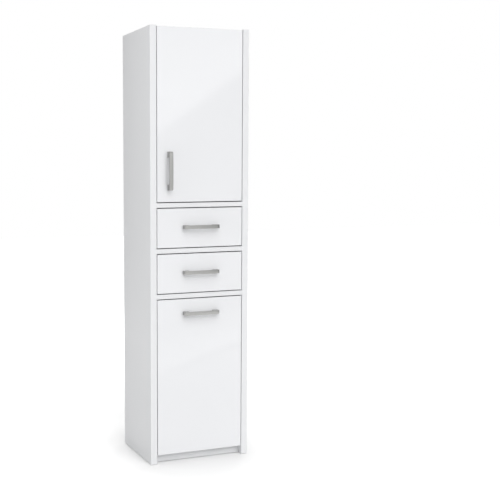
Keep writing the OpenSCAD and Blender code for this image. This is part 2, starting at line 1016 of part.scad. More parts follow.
module stay_arms() {
    back = front_t - pivot_y;
    arm_x = inner_x - stay_in - stay_t;
    placed(steel)
        both_sides() {
            translate([arm_x, pivot_y, pivot_z])
                rotate([90, 0, 90])
                    linear_extrude(stay_t)
                        difference() {
                            ring_band(stay_radius, stay_w, 0, stay_end);
                            translate([back - 2 * stay_w, stay_radius - 2 * stay_w])
                                square([2 * stay_w, 4 * stay_w]);
                            ring_band(stay_radius, stay_slot, slot_start, slot_end);
                        }
            block([arm_x + stay_t - stay_foot_w, front_t, pivot_z + stay_radius - stay_foot_h / 2],
                  [arm_x + stay_t, front_t + stay_t, pivot_z + stay_radius + stay_foot_h / 2]);
        }
}

module stay_studs() {
    placed(steel)
        both_sides() {
            rod_x(stud_d, inner_x - stay_in - stay_t - stud_clear - stud_head_t, inner_x + stud_hole,
                  stud_y, stud_z);
            rod_x(stud_collar_d, inner_x - stay_in + stud_clear, inner_x, stud_y, stud_z);
            rod_x(stud_collar_d, inner_x - stay_in - stay_t - stud_clear - stud_head_t,
                  inner_x - stay_in - stay_t - stud_clear, stud_y, stud_z);
        }
}

// Basket: loops of wire run round it, and uprights inside them bend under its floor

function loop_len(slope) = basket_depth / cos(slope);
function loop_rise(z, slope, y) = z - (y - basket_y0) * tan(slope);
function upright_at(i, count, span) = (i - (count - 1) / 2) * span / (count - 1);
wide_span = basket_w - 2 * (corner_r + upright_margin);
deep_span = basket_depth - 2 * (corner_r + upright_margin);
wide_xs = [for (i = [0 : wide_uprights - 1]) upright_at(i, wide_uprights, wide_span)];
deep_ys = [for (i = [0 : deep_uprights - 1])
    (basket_y0 + basket_y1) / 2 + upright_at(i, deep_uprights, deep_span)];
clip_x = (wide_xs[wide_uprights - 3] + wide_xs[wide_uprights - 2]) / 2;
upright_in = wire_d - weld;
floor_step = wire_d - weld;

// Each loop: height at the front, slope and wire
loops = concat(
    [[rim_z, rim_slope, rim_d], [rim_z - second_drop, second_slope, wire_d]],
    [for (i = [0 : row_count - 1]) [first_row + i * row_pitch, 0, wire_d]]
);

module in_loop(loop) {
    translate([0, basket_y0, loop[0]])
        rotate([-loop[1], 0, 0])
            children();
}

module quarter_bend(r, d) {
    rotate_extrude(angle = 90)
        translate([r, 0])
            circle(d = d, $fn = 24);
}

module loop_side(loop) {
    len = loop_len(loop[1]);
    in_loop(loop) {
        rod_y(loop[2], basket_w / 2, corner_r, len - corner_r, 0);
        translate([basket_w / 2 - corner_r, len - corner_r, 0])
            quarter_bend(corner_r, loop[2]);
        translate([basket_w / 2 - corner_r, corner_r, 0])
            rotate([0, 0, -90])
                quarter_bend(corner_r, loop[2]);
    }
}

module loop_end(loop, y) {
    in_loop(loop)
        rod_x(loop[2], corner_r - basket_w / 2, basket_w / 2 - corner_r, y, 0);
}

module basket_side() {
    for (loop = loops)
        loop_side(loop);
    for (y = deep_ys)
        rod_z(wire_d, basket_w / 2 - upright_in, y, basket_foot + floor_step + floor_r,
              loop_rise(rim_z, rim_slope, y) + wire_d / 2);
}

module basket_right() {
    placed(white_board)
        basket_side();
}

module basket_left() {
    placed(white_board)
        mirror([1, 0, 0])
            basket_side();
}

module basket_front() {
    placed(white_board) {
        for (loop = loops)
            loop_end(loop, 0);
        for (x = wide_xs)
            rod_z(wire_d, x, basket_y0 + upright_in, basket_foot + floor_r, rim_z + wire_d / 2);
    }
}

module basket_back() {
    placed(white_board) {
        for (loop = loops)
            loop_end(loop, loop_len(loop[1]));
        for (x = wide_xs)
            rod_z(wire_d, x, basket_y1 - upright_in, basket_foot + floor_r,
                  loop_rise(rim_z, rim_slope, basket_y1) + wire_d / 2);
    }
}

// A floor wire along Y between two uprights, with its bends
module floor_wire(half, d) {
    rod_y(d, 0, floor_r - half, half - floor_r, 0);
    for (turn = [0, 180])
        rotate([0, 0, turn])
            translate([0, half - floor_r, floor_r])
                rotate([0, 90, 0])
                    quarter_bend(floor_r, d);
}

module basket_bottom() {
    mid_y = (basket_y0 + basket_y1) / 2;
    placed(white_board) {
        for (x = wide_xs)
            translate([x, mid_y, basket_foot])
                floor_wire(basket_depth / 2 - upright_in, wire_d);
        for (y = deep_ys)
            translate([0, y, basket_foot + floor_step])
                rotate([0, 0, 90])
                    floor_wire(basket_w / 2 - upright_in, wire_d);
    }
}

module basket_clip(z, d) {
    difference() {
        block([clip_x - clip_w / 2, front_t, z - clip_h / 2],
              [clip_x + clip_w / 2, basket_y0 + clip_lip, z + clip_h / 2]);
        rod_x(d + 2 * fit, clip_x - clip_w, clip_x + clip_w, basket_y0, z);
    }
}

module basket_clips() {
    placed(nylon)
        both_sides() {
            basket_clip(rim_z, rim_d);
            basket_clip(first_row, wire_d);
        }
}

side_panel_left();
side_panel_right();
top_panel();
divider_upper();
divider_middle();
divider_lower();
bottom_panel();
plinth_front();
plinth_rear();
back_panel();
shelf();
shelf_pins();
cam_locks();
cam_bolts();
floor_glides();
wall_bracket();
wood_screws();
hinge_plates();
hinge_arms();
carcass_runners();
pivot_pins();
stay_studs();
door_panel();
door_handle();
door_handle_screws();
hinge_cups();
hinge_cup_screws();
door_bumpers();
hinge_links();
drawer_front(drawer_upper_z);  // drawer_front_upper
drawer_sides(drawer_upper_z);  // drawer_sides_upper
drawer_back(drawer_upper_z);  // drawer_back_upper
drawer_bottom(drawer_upper_z);  // drawer_bottom_upper
drawer_handle(drawer_upper_z);  // drawer_handle_upper
drawer_handle_screws(drawer_upper_z);  // drawer_handle_screws_upper
drawer_runners(drawer_upper_z);  // drawer_runners_upper
front_rollers(drawer_upper_z);  // front_rollers_upper
rear_rollers(drawer_upper_z);  // rear_rollers_upper
drawer_front(drawer_lower_z);  // drawer_front_lower
drawer_sides(drawer_lower_z);  // drawer_sides_lower
drawer_back(drawer_lower_z);  // drawer_back_lower
drawer_bottom(drawer_lower_z);  // drawer_bottom_lower
drawer_handle(drawer_lower_z);  // drawer_handle_lower
drawer_handle_screws(drawer_lower_z);  // drawer_handle_screws_lower
drawer_runners(drawer_lower_z);  // drawer_runners_lower
front_rollers(drawer_lower_z);  // front_rollers_lower
rear_rollers(drawer_lower_z);  // rear_rollers_lower
flap_panel();
flap_handle();
flap_handle_screws();
flap_bushes();
stay_arms();
basket_front();
basket_back();
basket_left();
basket_right();
basket_bottom();
basket_clips();
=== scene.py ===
"""Tall bathroom cabinet: rounded boards and fronts, cast handles, finishes and a white studio."""

import json
import math

import bmesh
import bpy
from bpy.props import FloatProperty, FloatVectorProperty, IntProperty, PointerProperty
from mathutils import Matrix, Vector

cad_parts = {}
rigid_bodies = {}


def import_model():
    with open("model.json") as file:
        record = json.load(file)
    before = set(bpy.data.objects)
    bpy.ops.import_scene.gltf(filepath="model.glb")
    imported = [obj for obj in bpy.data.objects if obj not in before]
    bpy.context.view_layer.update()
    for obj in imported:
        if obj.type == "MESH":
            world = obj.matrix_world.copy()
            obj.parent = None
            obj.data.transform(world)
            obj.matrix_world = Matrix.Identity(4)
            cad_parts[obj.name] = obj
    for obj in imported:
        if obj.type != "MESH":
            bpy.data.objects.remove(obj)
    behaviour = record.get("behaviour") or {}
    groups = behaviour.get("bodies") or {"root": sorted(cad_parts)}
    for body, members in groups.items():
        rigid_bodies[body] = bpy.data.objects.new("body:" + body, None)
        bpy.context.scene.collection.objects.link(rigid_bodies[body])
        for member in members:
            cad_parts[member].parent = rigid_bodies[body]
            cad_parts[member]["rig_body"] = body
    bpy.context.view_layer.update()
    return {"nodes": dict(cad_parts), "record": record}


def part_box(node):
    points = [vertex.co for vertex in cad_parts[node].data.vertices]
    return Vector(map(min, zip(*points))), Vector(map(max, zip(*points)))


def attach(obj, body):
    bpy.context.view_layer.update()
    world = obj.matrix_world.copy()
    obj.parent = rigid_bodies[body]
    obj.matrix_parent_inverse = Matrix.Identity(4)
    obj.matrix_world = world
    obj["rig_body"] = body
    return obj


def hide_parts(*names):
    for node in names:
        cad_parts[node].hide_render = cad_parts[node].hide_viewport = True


bl_info = {
    "name": "Bathroom Cabinet",
    "version": (1, 0, 0),
    "blender": (4, 5, 0),
    "location": "View3D > Sidebar > Cabinet",
    "description": "Rounds a tall bathroom cabinet's boards and handles, finishes it and lights it",
    "category": "Add Mesh",
}

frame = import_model()
SLOT_OF = {part["node"]: part["material_slot"] for part in frame["record"]["subparts"]}

BOARDS = (
    "side_panel_left",
    "side_panel_right",
    "top_panel",
    "divider_upper",
    "divider_middle",
    "divider_lower",
    "bottom_panel",
    "plinth_front",
    "plinth_rear",
    "shelf",
)
DRAWER_BOARDS = (
    "drawer_sides_upper",
    "drawer_back_upper",
    "drawer_sides_lower",
    "drawer_back_lower",
)
FRONTS = ("door_panel", "drawer_front_upper", "drawer_front_lower", "flap_panel")
HANDLES = ("door_handle", "drawer_handle_upper", "drawer_handle_lower", "flap_handle")


# ---------------------------------------------------------------- settings


class CabinetEdges(bpy.types.PropertyGroup):
    """How far the edges of the cabinet's pieces are rounded over"""

    board_round: FloatProperty(
        name="Board edge",
        description="Radius of the edge bands on the white boards",
        default=0.0008,
        min=0.0003,
        max=0.003,
        unit="LENGTH",
    )
    front_round: FloatProperty(
        name="Front edge",
        description="Radius of the foil-wrapped edges of the door, drawer fronts and flap",
        default=0.0012,
        min=0.0005,
        max=0.004,
        unit="LENGTH",
    )
    steps: IntProperty(
        name="Edge steps",
        description="Strips that each rounded edge is made of",
        default=3,
        min=2,
        max=6,
    )


class HandleSizes(bpy.types.PropertyGroup):
    """Sizes of a bar handle that stands on two feet"""

    bar: FloatProperty(
        name="Bar",
        description="Thickness of the bar in front of the finger gap",
        default=0.008,
        min=0.005,
        max=0.012,
        unit="LENGTH",
    )
    foot: FloatProperty(
        name="Foot",
        description="Length of each foot along the bar",
        default=0.024,
        min=0.015,
        max=0.035,
        unit="LENGTH",
    )
    outer_corner: FloatProperty(
        name="Outer corner",
        description="Radius of the bend from the bar's front to its ends",
        default=0.008,
        min=0.003,
        max=0.012,
        unit="LENGTH",
    )
    inner_corner: FloatProperty(
        name="Inner corner",
        description="Radius of the finger gap's corners",
        default=0.005,
        min=0.002,
        max=0.008,
        unit="LENGTH",
    )
    front_edge: FloatProperty(
        name="Front edge",
        description="Radius of the bar's long front edges",
        default=0.0048,
        min=0.0005,
        max=0.006,
        unit="LENGTH",
    )
    gap_edge: FloatProperty(
        name="Gap edge",
        description="Radius of the edges round the finger gap",
        default=0.0016,
        min=0.0005,
        max=0.003,
        unit="LENGTH",
    )
    bow: FloatProperty(
        name="Bow",
        description="How far the bar's middle stands out past its ends",
        default=0.0022,
        min=0,
        max=0.004,
        unit="LENGTH",
    )


class CabinetFinishes(bpy.types.PropertyGroup):
    """Colours of the cabinet's finishes"""

    board_white: FloatVectorProperty(
        name="Board white",
        description="Satin melamine on the side panels, shelves and drawer boxes",
        subtype="COLOR",
        size=3,
        min=0,
        max=1,
        default=(0.847, 0.855, 0.868),
    )
    gloss_white: FloatVectorProperty(
        name="Gloss white",
        description="High-gloss foil on the door, drawer fronts and flap",
        subtype="COLOR",
        size=3,
        min=0,
        max=1,
        default=(0.868, 0.875, 0.893),
    )
    nickel: FloatVectorProperty(
        name="Satin nickel",
        description="Plating of the handles",
        subtype="COLOR",
        size=3,
        min=0,
        max=1,
        default=(0.415, 0.415, 0.405),
    )
    hinge_plating: FloatVectorProperty(
        name="Hinge plating",
        description="Bright nickel on the hinges",
        subtype="COLOR",
        size=3,
        min=0,
        max=1,
        default=(0.58, 0.57, 0.55),
    )
    zinc: FloatVectorProperty(
        name="Zinc",
        description="Zinc plating of screws, pins, bracket and stays",
        subtype="COLOR",
        size=3,
        min=0,
        max=1,
        default=(0.62, 0.63, 0.65),
    )
    wire_white: FloatVectorProperty(
        name="Wire white",
        description="Plastic coat of the basket and powder coat of the runners",
        subtype="COLOR",
        size=3,
        min=0,
        max=1,
        default=(0.86, 0.86, 0.85),
    )
    nylon: FloatVectorProperty(
        name="Nylon",
        description="Rollers, glides, bushes and clips",
        subtype="COLOR",
        size=3,
        min=0,
        max=1,
        default=(0.82, 0.82, 0.80),
    )


class StudioSettings(bpy.types.PropertyGroup):
    """Camera, lamps, cards and floor"""

    camera_place: FloatVectorProperty(
        name="Camera place",
        description="Where the camera stands",
        subtype="XYZ",
        unit="LENGTH",
        size=3,
        default=(-1.53894, -3.54083, 1.24547),
    )
    camera_turn: FloatProperty(
        name="Camera turn",
        description="Angle that the camera looks to the right of straight ahead",
        default=math.radians(19.6686),
        unit="ROTATION",
    )
    camera_dip: FloatProperty(
        name="Camera dip",
        description="Angle that the camera looks down",
        default=math.radians(4.5732),
        unit="ROTATION",
    )
    camera_roll: FloatProperty(
        name="Camera roll",
        description="Angle that the camera leans to the left",
        default=math.radians(0.309),
        unit="ROTATION",
    )
    lens: FloatProperty(
        name="Lens",
        description="Focal length on a 36 mm wide sensor, in millimetres",
        default=63.601,
    )
    shift_x: FloatProperty(
        name="Shift right",
        description="Sideways shift of the lens, as a share of the picture's width",
        default=0.24586,
    )
    shift_y: FloatProperty(
        name="Shift up",
        description="Upward shift of the lens, as a share of the picture's width",
        default=-0.02,
    )
    sky: FloatProperty(
        name="Tent level",
        description="Brightness of the white tent round the object",
        default=0.255,
        min=0,
        max=2,
    )
    key: FloatProperty(
        name="Front lamp",
        description="Power of the large lamp in front on the right, in watts",
        default=32.0,
        min=0,
    )
    side: FloatProperty(
        name="Side lamp",
        description="Power of the tall lamp on the left, in watts",
        default=2.8,
        min=0,
    )
    top: FloatProperty(
        name="High lamp",
        description="Strength of the wide, far lamp high in front, which lights the front evenly",
        default=1.42,
        min=0,
    )
    rear: FloatProperty(
        name="Rear lamps",
        description="Power of each of the two lamps behind, in watts",
        default=38.0,
        min=0,
    )
    card: FloatProperty(
        name="Reflector card",
        description="Brightness that the card adds where the gloss fronts mirror it",
        default=0.95,
        min=0,
        max=6,
    )
    flag: FloatProperty(
        name="Dark card",
        description="Brightness of the dark card that shapes the metal on the right",
        default=0.15,
        min=0,
        max=1,
    )
    # Painted shade: the near glow is lower than the open glow, so the floor round the cabinet's
    # base is darker, on top of its real shadow
    near_glow: FloatProperty(
        name="Near floor glow",
        description="How much brighter the camera sees the floor that touches the cabinet",
        default=0.145,
        min=0,
        max=1,
    )
    open_glow: FloatProperty(
        name="Open floor glow",
        description=(
            "How much brighter the camera sees the lit floor, "
            "so that it is white beside the shadow"
        ),
        default=0.42,
        min=0,
        max=1,
    )
    far_glow: FloatProperty(
        name="Far floor glow",
        description=(
            "How much brighter the camera sees the floor past the lamps, "
            "so that it meets the tent unseen"
        ),
        default=0.76,
        min=0,
        max=1,
    )
    floor_white: FloatProperty(
        name="Floor white",
        description="Shade of the floor",
        default=0.8,
        min=0,
        max=1,
    )


# ---------------------------------------------------------------- finishes

# Sockets of the Mix node, several of which have the same name
MIX_SHARE, NUMBER_A, NUMBER_B, COLOUR_A, COLOUR_B = 0, 2, 3, 6, 7
NUMBER_OUT, COLOUR_OUT = 0, 2


def add(tree, kind, x, y, sockets=None, **settings):
    """A shader node at a place in the tree, with the values of its sockets and settings"""
    made = tree.nodes.new(kind)
    made.location = (x, y)
    for name, value in settings.items():
        setattr(made, name, value)
    for name, value in (sockets or {}).items():
        made.inputs[name].default_value = value
    return made


def reckoned(tree, operation, first, second, x, y):
    """What a math node makes of two values, each of them a number or another node's output"""
    made = add(tree, "ShaderNodeMath", x, y, operation=operation)
    for socket, value in zip(made.inputs, (first, second)):
        if isinstance(value, bpy.types.NodeSocket):
            tree.links.new(value, socket)
        else:
            socket.default_value = value
    return made.outputs[0]


def ranged(tree, value, source, target, x, y, curve="LINEAR"):
    """A value brought from the pair of limits in source to the pair in target"""
    sockets = {
        "From Min": source[0], "From Max": source[1], "To Min": target[0], "To Max": target[1],
    }
    made = add(tree, "ShaderNodeMapRange", x, y, sockets, interpolation_type=curve)
    tree.links.new(value, made.inputs["Value"])
    return made.outputs["Result"]


def blended(tree, first, second, share, x, y):
    """Two values mixed, with the share of the second"""
    made = add(tree, "ShaderNodeMix", x, y, {MIX_SHARE: share}, data_type="FLOAT")
    tree.links.new(first, made.inputs[NUMBER_A])
    tree.links.new(second, made.inputs[NUMBER_B])
    return made.outputs[NUMBER_OUT]


def noise(tree, vector, scale, x, y, detail, roughness=0.5, distortion=0.0):
    """Noise of that scale over the surface"""
    sockets = {"Detail": detail, "Roughness": roughness, "Distortion": distortion}
    made = add(tree, "ShaderNodeTexNoise", x, y, sockets)
    tree.links.new(vector, made.inputs["Vector"])
    tree.links.new(scale, made.inputs["Scale"])
    return made.outputs["Fac"]


def effect(name, scales):
    """A new shader group that takes a vector and these scales, and gives a height and a tone

    Returns its tree, its input node and its output node.
    """
    tree = bpy.data.node_groups.new(name, "ShaderNodeTree")
    new_socket = tree.interface.new_socket
    new_socket(name="Vector", in_out="INPUT", socket_type="NodeSocketVector")
    for label, value in scales.items():
        socket = new_socket(name=label, in_out="INPUT", socket_type="NodeSocketFloat")
        socket.default_value = value
    for label in ("Height", "Tone"):
        new_socket(name=label, in_out="OUTPUT", socket_type="NodeSocketFloat")
    return tree, add(tree, "NodeGroupInput", -800, 0), add(tree, "NodeGroupOutput", 600, 0)


def pebbled_skin():
    """Fine pebbles of a pressed or sprayed skin, and slow patches of tone"""
    tree, taken, given = effect("Pebbled Skin", {"Pebbles": 900.0, "Patches": 6.0})
    vector, pebbles = taken.outputs["Vector"], taken.outputs["Pebbles"]
    coarser = reckoned(tree, "MULTIPLY", pebbles, 0.15, -600, -60)
    fine = noise(tree, vector, pebbles, -400, 200, detail=2.0, roughness=0.45)
    wide = noise(tree, vector, coarser, -400, -60, detail=1.0, roughness=0.4)
    slow = noise(
        tree, vector, taken.outputs["Patches"], -400, -320,
        detail=3.0, roughness=0.55, distortion=0.6,
    )
    height = blended(tree, fine, wide, 0.4, -100, 120)
    tone = ranged(tree, slow, (0.3, 0.7), (0.0, 1.0), -100, -240)
    tree.links.new(height, given.inputs["Height"])
    tree.links.new(tone, given.inputs["Tone"])
    return tree


def drawn_lines():
    """Fine lines that brushing leaves, with their grouping into lighter and darker runs"""
    tree, taken, given = effect("Drawn Lines", {"Lines": 1.0})
    vector, lines = taken.outputs["Vector"], taken.outputs["Lines"]
    coarser = reckoned(tree, "MULTIPLY", lines, 0.22, -600, -160)
    fine = noise(tree, vector, lines, -400, 160, detail=4.0, roughness=0.7)
    runs = noise(tree, vector, coarser, -400, -160, detail=2.0, roughness=0.5)
    both = blended(tree, fine, runs, 0.45, -100, 0)
    tone = ranged(tree, both, (0.3, 0.7), (0.0, 1.0), 200, -160)
    tree.links.new(fine, given.inputs["Height"])
    tree.links.new(tone, given.inputs["Tone"])
    return tree


def spangled_plating():
    """The frosty grains of zinc, each with its own tone, over a fine skin"""
    tree, taken, given = effect("Spangled Plating", {"Grains": 500.0})
    vector, scale = taken.outputs["Vector"], taken.outputs["Grains"]
    finer = reckoned(tree, "MULTIPLY", scale, 3.0, -600, -180)
    grains = add(tree, "ShaderNodeTexVoronoi", -400, 140, {"Randomness": 1.0})
    tree.links.new(vector, grains.inputs["Vector"])
    tree.links.new(scale, grains.inputs["Scale"])
    skin = noise(tree, vector, finer, -400, -180, detail=3.0)
    grey = add(tree, "ShaderNodeRGBToBW", -150, 140)
    tree.links.new(grains.outputs["Color"], grey.inputs["Color"])
    tree.links.new(grey.outputs["Val"], given.inputs["Tone"])
    tree.links.new(skin, given.inputs["Height"])
    return tree


PEBBLED = (pebbled_skin, "Pebbled Skin")
DRAWN = (drawn_lines, "Drawn Lines")
SPANGLED = (spangled_plating, "Spangled Plating")


def shared_group(make, label):
    """The shader group of that label, built the first time that it is asked for"""
    return bpy.data.node_groups.get(label) or make()


def blank(name):
    """A new material with nothing but its output node; returns it, its tree and that node"""
    material = bpy.data.materials.new(name)
    material.use_nodes = True
    material.node_tree.nodes.clear()
    out = add(material.node_tree, "ShaderNodeOutputMaterial", 600, 0)
    return material, material.node_tree, out


def finish(
    name, colour, group, scales, shade, roughness, bump,
    stretch=None, metallic=0.0, coat=0.0, transmission=0.0,
):
    """A material: the group's tone moves its colour and roughness, and the group's height its bumps

    shade is the colour's darkest share, roughness its least and most, bump a strength and a depth
    in metres, and stretch the pattern's scale along x, y and z.
    """
    ready = bpy.data.materials.get(name)
    if ready:
        return ready
    material, tree, out = blank(name)
    link = tree.links.new
    shader = add(
        tree, "ShaderNodeBsdfPrincipled", 300, 0,
        {"Metallic": metallic, "Coat Weight": coat, "Transmission Weight": transmission},
    )
    vector = add(tree, "ShaderNodeTexCoord", -900, 0).outputs["Object"]
    if stretch:
        mapping = add(tree, "ShaderNodeMapping", -700, 0, {"Scale": stretch})
        link(vector, mapping.inputs["Vector"])
        vector = mapping.outputs["Vector"]
    pattern = add(tree, "ShaderNodeGroup", -450, 0, node_tree=shared_group(*group))
    for label, value in scales.items():
        pattern.inputs[label].default_value = value
    link(vector, pattern.inputs["Vector"])
    tint = add(
        tree, "ShaderNodeMix", 0, 200,
        {COLOUR_A: (*[c * shade for c in colour], 1), COLOUR_B: (*colour, 1)},
        data_type="RGBA",
    )
    link(pattern.outputs["Tone"], tint.inputs[MIX_SHARE])
    rough = ranged(tree, pattern.outputs["Tone"], (0.0, 1.0), roughness, 0, -60)
    bumps = add(tree, "ShaderNodeBump", 0, -340, {"Strength": bump[0], "Distance": bump[1]})
    link(pattern.outputs["Height"], bumps.inputs["Height"])
    link(tint.outputs[COLOUR_OUT], shader.inputs["Base Color"])
    link(rough, shader.inputs["Roughness"])
    link(bumps.outputs["Normal"], shader.inputs["Normal"])
    link(shader.outputs["BSDF"], out.inputs["Surface"])
    return material


def melamine():
    """Satin white melamine with its pressed pearl texture"""
    return finish(
        "White melamine",
        bpy.context.scene.cabinet_finishes.board_white,
        PEBBLED,
        {"Pebbles": 1400.0, "Patches": 5.0},
        shade=0.985,
        roughness=(0.36, 0.46),
        bump=(0.12, 0.0002),
    )


def gloss_foil():
    """High-gloss white foil, whose reflections waver a little as the board under it does"""
    return finish(
        "Gloss white foil",
        bpy.context.scene.cabinet_finishes.gloss_white,
        PEBBLED,
        {"Pebbles": 70.0, "Patches": 3.0},
        shade=0.993,
        roughness=(0.03, 0.05),
        bump=(0.03, 0.0004),
        coat=0.4,
    )


def hardboard():
    """White lacquer on hardboard, rolled on in one direction"""
    return finish(
        "Lacquered hardboard",
        bpy.context.scene.cabinet_finishes.board_white,
        DRAWN,
        {"Lines": 260.0},
        shade=0.96,
        roughness=(0.42, 0.55),
        bump=(0.15, 0.0003),
        stretch=(1.0, 1.0, 0.12),
    )


def satin_nickel(upright):
    """Satin nickel, brushed along the bar"""
    return finish(
        "Satin nickel, upright" if upright else "Satin nickel, level",
        bpy.context.scene.cabinet_finishes.nickel,
        DRAWN,
        {"Lines": 2400.0},
        shade=0.88,
        roughness=(0.27, 0.36),
        bump=(0.14, 0.0001),
        stretch=(1.0, 1.0, 0.02) if upright else (0.02, 1.0, 1.0),
        metallic=1.0,
    )


def bright_nickel():
    """Bright nickel on the pressed steel of the hinges"""
    return finish(
        "Hinge nickel",
        bpy.context.scene.cabinet_finishes.hinge_plating,
        PEBBLED,
        {"Pebbles": 1100.0, "Patches": 60.0},
        shade=0.9,
        roughness=(0.16, 0.26),
        bump=(0.1, 0.0001),
        metallic=1.0,
    )


def zinc():
    """Zinc plating with its grains"""
    return finish(
        "Zinc plating",
        bpy.context.scene.cabinet_finishes.zinc,
        SPANGLED,
        {"Grains": 700.0},
        shade=0.82,
        roughness=(0.28, 0.42),
        bump=(0.12, 0.0001),
        metallic=1.0,
    )


def coated_wire():
    """Thick white plastic coat on the basket's wires"""
    return finish(
        "Coated wire",
        bpy.context.scene.cabinet_finishes.wire_white,
        PEBBLED,
        {"Pebbles": 520.0, "Patches": 12.0},
        shade=0.97,
        roughness=(0.24, 0.34),
        bump=(0.12, 0.0002),
        coat=0.15,
    )


def powder_coat():
    """White powder coat on the runners, with its orange peel"""
    return finish(
        "Powder coat",
        bpy.context.scene.cabinet_finishes.wire_white,
        PEBBLED,
        {"Pebbles": 800.0, "Patches": 20.0},
        shade=0.96,
        roughness=(0.3, 0.42),
        bump=(0.2, 0.0002),
    )


def nylon():
    """White moulded nylon"""
    return finish(
        "White nylon",
        bpy.context.scene.cabinet_finishes.nylon,
        PEBBLED,
        {"Pebbles": 1600.0, "Patches": 40.0},
        shade=0.95,
        roughness=(0.36, 0.5),
        bump=(0.15, 0.0001),
    )


def soft_dot():
    """Clear soft plastic of the door's bumpers"""
    return finish(
        "Clear soft plastic",
        (0.9, 0.92, 0.93),
        PEBBLED,
        {"Pebbles": 700.0, "Patches": 80.0},
        shade=0.95,
        roughness=(0.12, 0.22),
        bump=(0.1, 0.0001),
        transmission=0.6,
    )


FINISH_OF = {
    "back_board": hardboard,
    "hinge_nickel": bright_nickel,
    "zinc_steel": zinc,
    "runner_coat": powder_coat,
    "nylon": nylon,
    "clear_bumper": soft_dot,
    "basket_wire": coated_wire,
}


def dress(nodes):
    """Puts the finish of its slot on each of these solids, which stay as they are"""
    for name in nodes:
        slots = frame["nodes"][name].data.materials
        slots.clear()
        slots.append(FINISH_OF[SLOT_OF[name]]())


# ---------------------------------------------------------------- shapes

SAME_POINT = 1e-6  # points nearer than this are taken as one
ON_SIDE = 1e-5  # a point nearer than this to a side of its box lies on it
FLAT_TURN = math.radians(0.5)  # faces that turn less than this make one flat face
BEND_STEPS = 8  # strips in each bend of a handle's outline
BOW_STEPS = 16  # strips along the bow of a handle's front
RIM_STEPS_MORE = 3  # how many more strips a handle's edge has than a board's
ROUND_AREA = 2e-4  # a handle's face under this area, in square metres, is shaded smooth


def object_of(bm, name, material):
    """A new object in the scene with the bmesh, which is freed, and the material"""
    mesh = bpy.data.meshes.new(name)
    bm.to_mesh(mesh)
    bm.free()
    made = bpy.data.objects.new(name, mesh)
    bpy.context.scene.collection.objects.link(made)
    mesh.materials.append(material)
    return made


def keep(bm, name, node, material):
    """Makes a bmesh a piece that rides with the node's body and stands for the node"""
    bmesh.ops.recalc_face_normals(bm, faces=bm.faces)
    piece = object_of(bm, name, material)
    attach(piece, frame["nodes"][node]["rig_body"])
    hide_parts(node)


def islands(bm):
    """The separate shells of a bmesh, as lists of vertices"""
    left = set(bm.verts)
    found = []
    while left:
        shell, front = [], [left.pop()]
        while front:
            vert = front.pop()
            shell.append(vert)
            for edge in vert.link_edges:
                other = edge.other_vert(vert)
                if other in left:
                    left.remove(other)
                    front.append(other)
        found.append(shell)
    return found


def box_edges(shell):
    """The edges of a shell that lie along the edges of the box that it fills"""
    low = [min(vert.co[axis] for vert in shell) for axis in range(3)]
    high = [max(vert.co[axis] for vert in shell) for axis in range(3)]

    def sides(vert):
        """The sides of the box that the vertex lies on"""
        return {
            (axis, side)
            for side, corner in enumerate((low, high))
            for axis in range(3)
            if abs(vert.co[axis] - corner[axis]) < ON_SIDE
        }

    return {
        edge
        for vert in shell
        for edge in vert.link_edges
        if len(sides(edge.verts[0]) & sides(edge.verts[1])) >= 2
    }


def round_edges(bm, edges, radius, steps):
    """Rounds the edges over and returns the new faces"""
    return bmesh.ops.bevel(
        bm, geom=edges, offset=radius, offset_type="OFFSET", segments=steps, profile=0.5,
        affect="EDGES", material=-1, clamp_overlap=True,
    )["faces"]


def round_corners(bm, corners, radius):
    """Rounds the corners of a flat outline"""
    bmesh.ops.bevel(
        bm, geom=corners, offset=radius, offset_type="OFFSET", segments=BEND_STEPS, profile=0.5,
        affect="VERTICES", material=-1,
    )


def eased_board(node, radius, steps):
    """The solid of a board with its outer edges rounded over; holes and grooves stay"""
    bm = bmesh.new()
    bm.from_mesh(frame["nodes"][node].data)
    bmesh.ops.remove_doubles(bm, verts=bm.verts, dist=SAME_POINT)
    bmesh.ops.dissolve_limit(
        bm, angle_limit=FLAT_TURN, verts=bm.verts, edges=bm.edges, delimit={"NORMAL"}
    )
    bm.edges.index_update()
    edges = {edge for shell in islands(bm) for edge in box_edges(shell)}
    for face in round_edges(bm, sorted(edges, key=lambda edge: edge.index), radius, steps):
        face.smooth = True
    return bm


def ease_boards(nodes, prefix, radius, steps, cover):
    """Puts a rounded and covered board in the place of each of these"""
    for node in nodes:
        keep(eased_board(node, radius, steps), prefix + node, node, cover())


